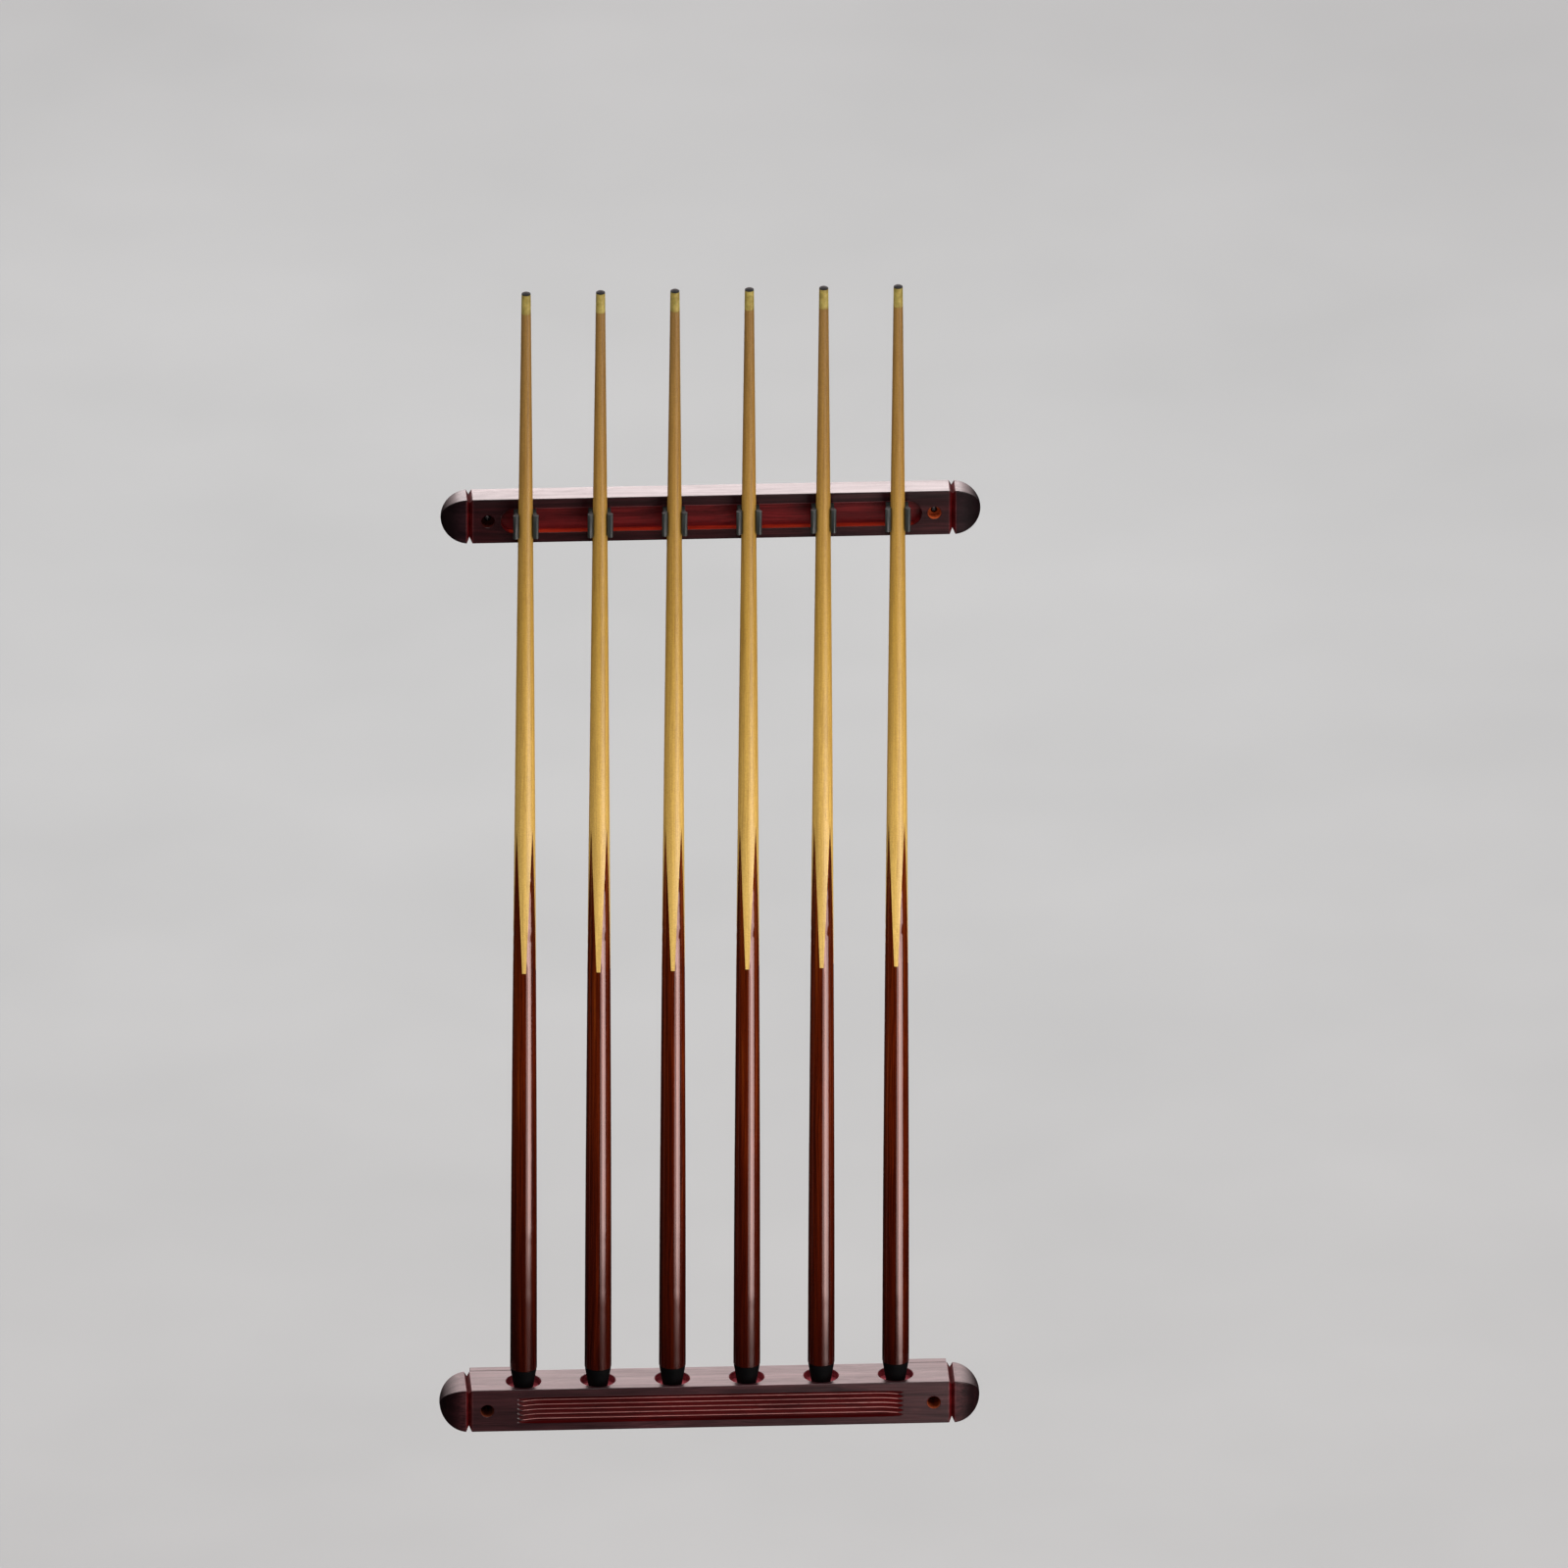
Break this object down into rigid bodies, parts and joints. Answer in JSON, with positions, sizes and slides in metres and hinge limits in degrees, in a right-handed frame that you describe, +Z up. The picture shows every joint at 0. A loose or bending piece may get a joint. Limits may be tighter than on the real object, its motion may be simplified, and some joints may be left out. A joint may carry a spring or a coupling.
{
  "type": "wall cue rack",
  "caption": "Two-rail wooden wall rack for billiard cues: a cupped lower rail holds the butts and a clip rail above holds the shafts; cues lift out.",
  "frame": {"origin": "centre of the rectangle of the four wall-screw holes, in the plane of the wall", "axes": "X along the rails, +Y into the wall so that the front faces -Y, +Z up along the cues"},
  "size_m": [0.645, 0.068, 1.4818],
  "materials": {
    "rail_wood": "dark red stain, satin lacquer",
    "cue_maple": "clear gloss lacquer over maple",
    "cue_dark_wood": "red-brown stain, gloss lacquer",
    "clip_plastic": "satin black moulding",
    "screw_steel": "zinc plated",
    "bumper_rubber": "matt black",
    "ferrule_plastic": "cream, polished",
    "tip_leather": "pressed leather, black"
  },
  "bodies": {
    "rack": {"upper_rail": "rail_wood", "lower_rail": "rail_wood", "left_spacer_block": "rail_wood", "right_spacer_block": "rail_wood", "spacer_screws": "screw_steel", "clip_screws": "screw_steel", "clip_1": "clip_plastic", "clip_2": "clip_plastic", "clip_3": "clip_plastic", "clip_4": "clip_plastic", "clip_5": "clip_plastic", "clip_6": "clip_plastic"},
    "cue_1": {"cue_1_tip": "tip_leather", "cue_1_ferrule": "ferrule_plastic", "cue_1_shaft": "cue_maple", "cue_1_butt": "cue_dark_wood", "cue_1_bumper": "bumper_rubber", "cue_1_bumper_screw": "screw_steel"},
    "cue_2": {"cue_2_tip": "tip_leather", "cue_2_ferrule": "ferrule_plastic", "cue_2_shaft": "cue_maple", "cue_2_butt": "cue_dark_wood", "cue_2_bumper": "bumper_rubber", "cue_2_bumper_screw": "screw_steel"},
    "cue_3": {"cue_3_tip": "tip_leather", "cue_3_ferrule": "ferrule_plastic", "cue_3_shaft": "cue_maple", "cue_3_butt": "cue_dark_wood", "cue_3_bumper": "bumper_rubber", "cue_3_bumper_screw": "screw_steel"},
    "cue_4": {"cue_4_tip": "tip_leather", "cue_4_ferrule": "ferrule_plastic", "cue_4_shaft": "cue_maple", "cue_4_butt": "cue_dark_wood", "cue_4_bumper": "bumper_rubber", "cue_4_bumper_screw": "screw_steel"},
    "cue_5": {"cue_5_tip": "tip_leather", "cue_5_ferrule": "ferrule_plastic", "cue_5_shaft": "cue_maple", "cue_5_butt": "cue_dark_wood", "cue_5_bumper": "bumper_rubber", "cue_5_bumper_screw": "screw_steel"},
    "cue_6": {"cue_6_tip": "tip_leather", "cue_6_ferrule": "ferrule_plastic", "cue_6_shaft": "cue_maple", "cue_6_butt": "cue_dark_wood", "cue_6_bumper": "bumper_rubber", "cue_6_bumper_screw": "screw_steel"}
  },
  "joints": [
    {"name": "cue_1_lift", "type": "slide", "parent": "rack", "child": "cue_1", "axis": [0, 0, 1], "range_m": [0, 0.03]},
    {"name": "cue_2_lift", "type": "slide", "parent": "rack", "child": "cue_2", "axis": [0, 0, 1], "range_m": [0, 0.03]},
    {"name": "cue_3_lift", "type": "slide", "parent": "rack", "child": "cue_3", "axis": [0, 0, 1], "range_m": [0, 0.03]},
    {"name": "cue_4_lift", "type": "slide", "parent": "rack", "child": "cue_4", "axis": [0, 0, 1], "range_m": [0, 0.03]},
    {"name": "cue_5_lift", "type": "slide", "parent": "rack", "child": "cue_5", "axis": [0, 0, 1], "range_m": [0, 0.03]},
    {"name": "cue_6_lift", "type": "slide", "parent": "rack", "child": "cue_6", "axis": [0, 0, 1], "range_m": [0, 0.03]}
  ]
}
